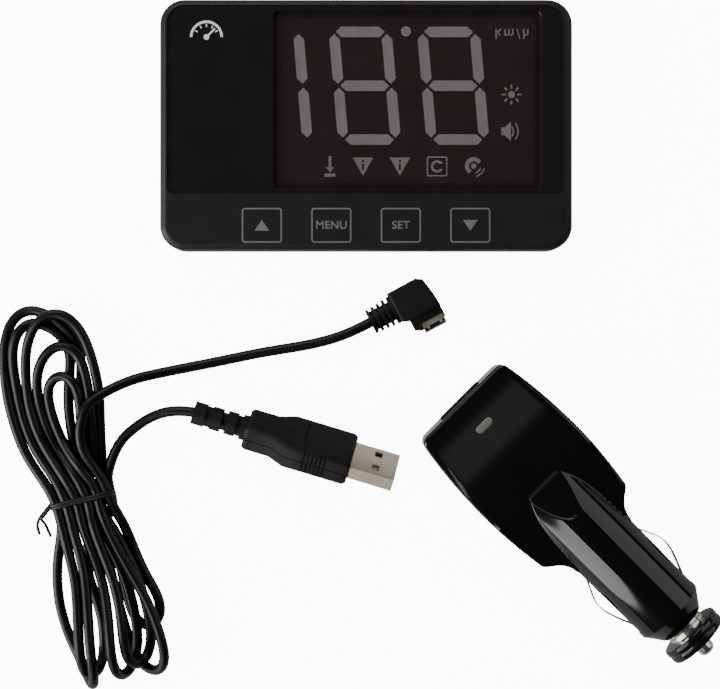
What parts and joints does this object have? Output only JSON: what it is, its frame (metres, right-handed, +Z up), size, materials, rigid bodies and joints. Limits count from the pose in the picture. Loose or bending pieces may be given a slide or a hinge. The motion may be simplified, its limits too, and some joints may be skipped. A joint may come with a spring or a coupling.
{
  "type": "head-up speed display",
  "caption": "Dash-top head-up speed display lying on its back, with a mirrored readout, touch keys, a tied power lead and a 12 V adapter.",
  "frame": {"origin": "centre of the display's non-slip pad, on the surface that the whole set lies on", "axes": "+Z up, out of the display's face; +X along the display's length, to the right seen from above; +Y to the display's top edge"},
  "size_m": [0.2022, 0.1947, 0.0214],
  "materials": {
    "pad_rubber": "matte",
    "housing_plastic": "soft-touch satin",
    "panel_plastic": "satin",
    "smoked_glass": "smoked, polished",
    "screw_steel": "black zinc",
    "module_black": "matte black mask",
    "segment_diffuser": "unlit milky diffuser",
    "symbol_diffuser": "unlit milky diffuser",
    "led_epoxy": "clear epoxy",
    "key_print": "printed ink",
    "white_print": "printed ink",
    "circuit_board": "solder mask",
    "antenna_ceramic": "unglazed",
    "tinned_metal": "tinned",
    "component_black": "moulded",
    "spring_steel": "bright nickel",
    "cord_jacket": "satin jacket",
    "tie_plastic": "coated wire",
    "plug_plastic": "satin moulding",
    "connector_nickel": "nickel plate",
    "tongue_white": "moulded",
    "contact_gold": "gold plate",
    "adapter_gloss": "piano black",
    "ferrite": "ferrite",
    "lens_cream": "ribbed, translucent",
    "contact_nickel": "nickel plate",
    "nose_plastic": "moulded",
    "fuse_glass": "clear tube"
  },
  "bodies": {
    "display": {"non_slip_pad": "pad_rubber", "rear_housing": "housing_plastic", "front_housing": "housing_plastic", "face_panel": "panel_plastic", "display_window": "smoked_glass", "housing_screws": "screw_steel", "led_module_housing": "module_black", "led_chips": "led_epoxy", "key_outlines": "key_print", "key_labels": "key_print", "gauge_emblem": "white_print", "main_board": "circuit_board", "satellite_antenna": "antenna_ceramic", "receiver_shield": "tinned_metal", "microcontroller": "component_black", "buzzer": "component_black", "backup_cell": "tinned_metal", "touch_key_springs": "spring_steel", "micro_socket_shell": "tinned_metal", "micro_socket_tongue": "component_black", "left_digit": "segment_diffuser", "middle_digit": "segment_diffuser", "right_digit": "segment_diffuser", "lit_point": "segment_diffuser", "speed_unit_legend": "symbol_diffuser", "brightness_symbol": "symbol_diffuser", "sound_symbol": "symbol_diffuser", "status_symbols": "symbol_diffuser"},
    "lead": {"cord_at_display_end": "cord_jacket", "cord_hank": "cord_jacket", "cord_at_adapter_end": "cord_jacket", "cable_tie": "tie_plastic", "micro_plug_overmould": "plug_plastic", "micro_plug_strain_relief": "plug_plastic", "micro_plug_shell": "connector_nickel", "micro_plug_tongue": "component_black", "micro_plug_latches": "connector_nickel", "usb_plug_overmould": "plug_plastic", "usb_plug_strain_relief": "plug_plastic", "usb_plug_shell": "connector_nickel", "usb_plug_tongue": "tongue_white", "usb_plug_contacts": "contact_gold"},
    "adapter": {"adapter_upper_shell": "adapter_gloss", "adapter_lower_shell": "adapter_gloss", "adapter_usb_surround": "component_black", "adapter_usb_shell": "connector_nickel", "adapter_usb_tongue": "tongue_white", "adapter_board": "circuit_board", "adapter_inductor": "ferrite", "adapter_capacitors": "tinned_metal", "power_lens": "lens_cream", "power_led": "led_epoxy", "tip_spring": "spring_steel", "spring_seat": "contact_nickel"},
    "nose": {"contact_collar": "contact_nickel", "nose_ring": "nose_plastic"},
    "tip": {"tip_contact": "contact_nickel", "fuse": "fuse_glass"},
    "left_spring": {"ground_spring_left": "spring_steel"},
    "right_spring": {"ground_spring_right": "spring_steel"}
  },
  "joints": [
    {"name": "lead_lift", "type": "slide", "parent": "display", "child": "lead", "axis": [0, 0, 1], "range_m": [0, 0.05]},
    {"name": "adapter_lift", "type": "slide", "parent": "display", "child": "adapter", "axis": [0, 0, 1], "range_m": [0, 0.06]},
    {"name": "nose_unscrew", "type": "slide", "parent": "adapter", "child": "nose", "axis": [0.7071, -0.7071, 0], "range_m": [0, 0.006]},
    {"name": "tip_press", "type": "slide", "parent": "nose", "child": "tip", "axis": [-0.7071, 0.7071, 0], "range_m": [0, 0.0035], "stiffness_N_per_m": 500, "springref_m": -0.004, "deforming": ["tip_spring"]},
    {"name": "left_spring_press", "type": "slide", "parent": "adapter", "child": "left_spring", "axis": [0.7071, 0.7071, 0], "range_m": [0, 0.0024], "stiffness_N_per_m": 1000, "springref_m": -0.001},
    {"name": "right_spring_press", "type": "slide", "parent": "adapter", "child": "right_spring", "axis": [-0.7071, -0.7071, 0], "range_m": [0, 0.0024], "stiffness_N_per_m": 1000, "springref_m": -0.001}
  ]
}
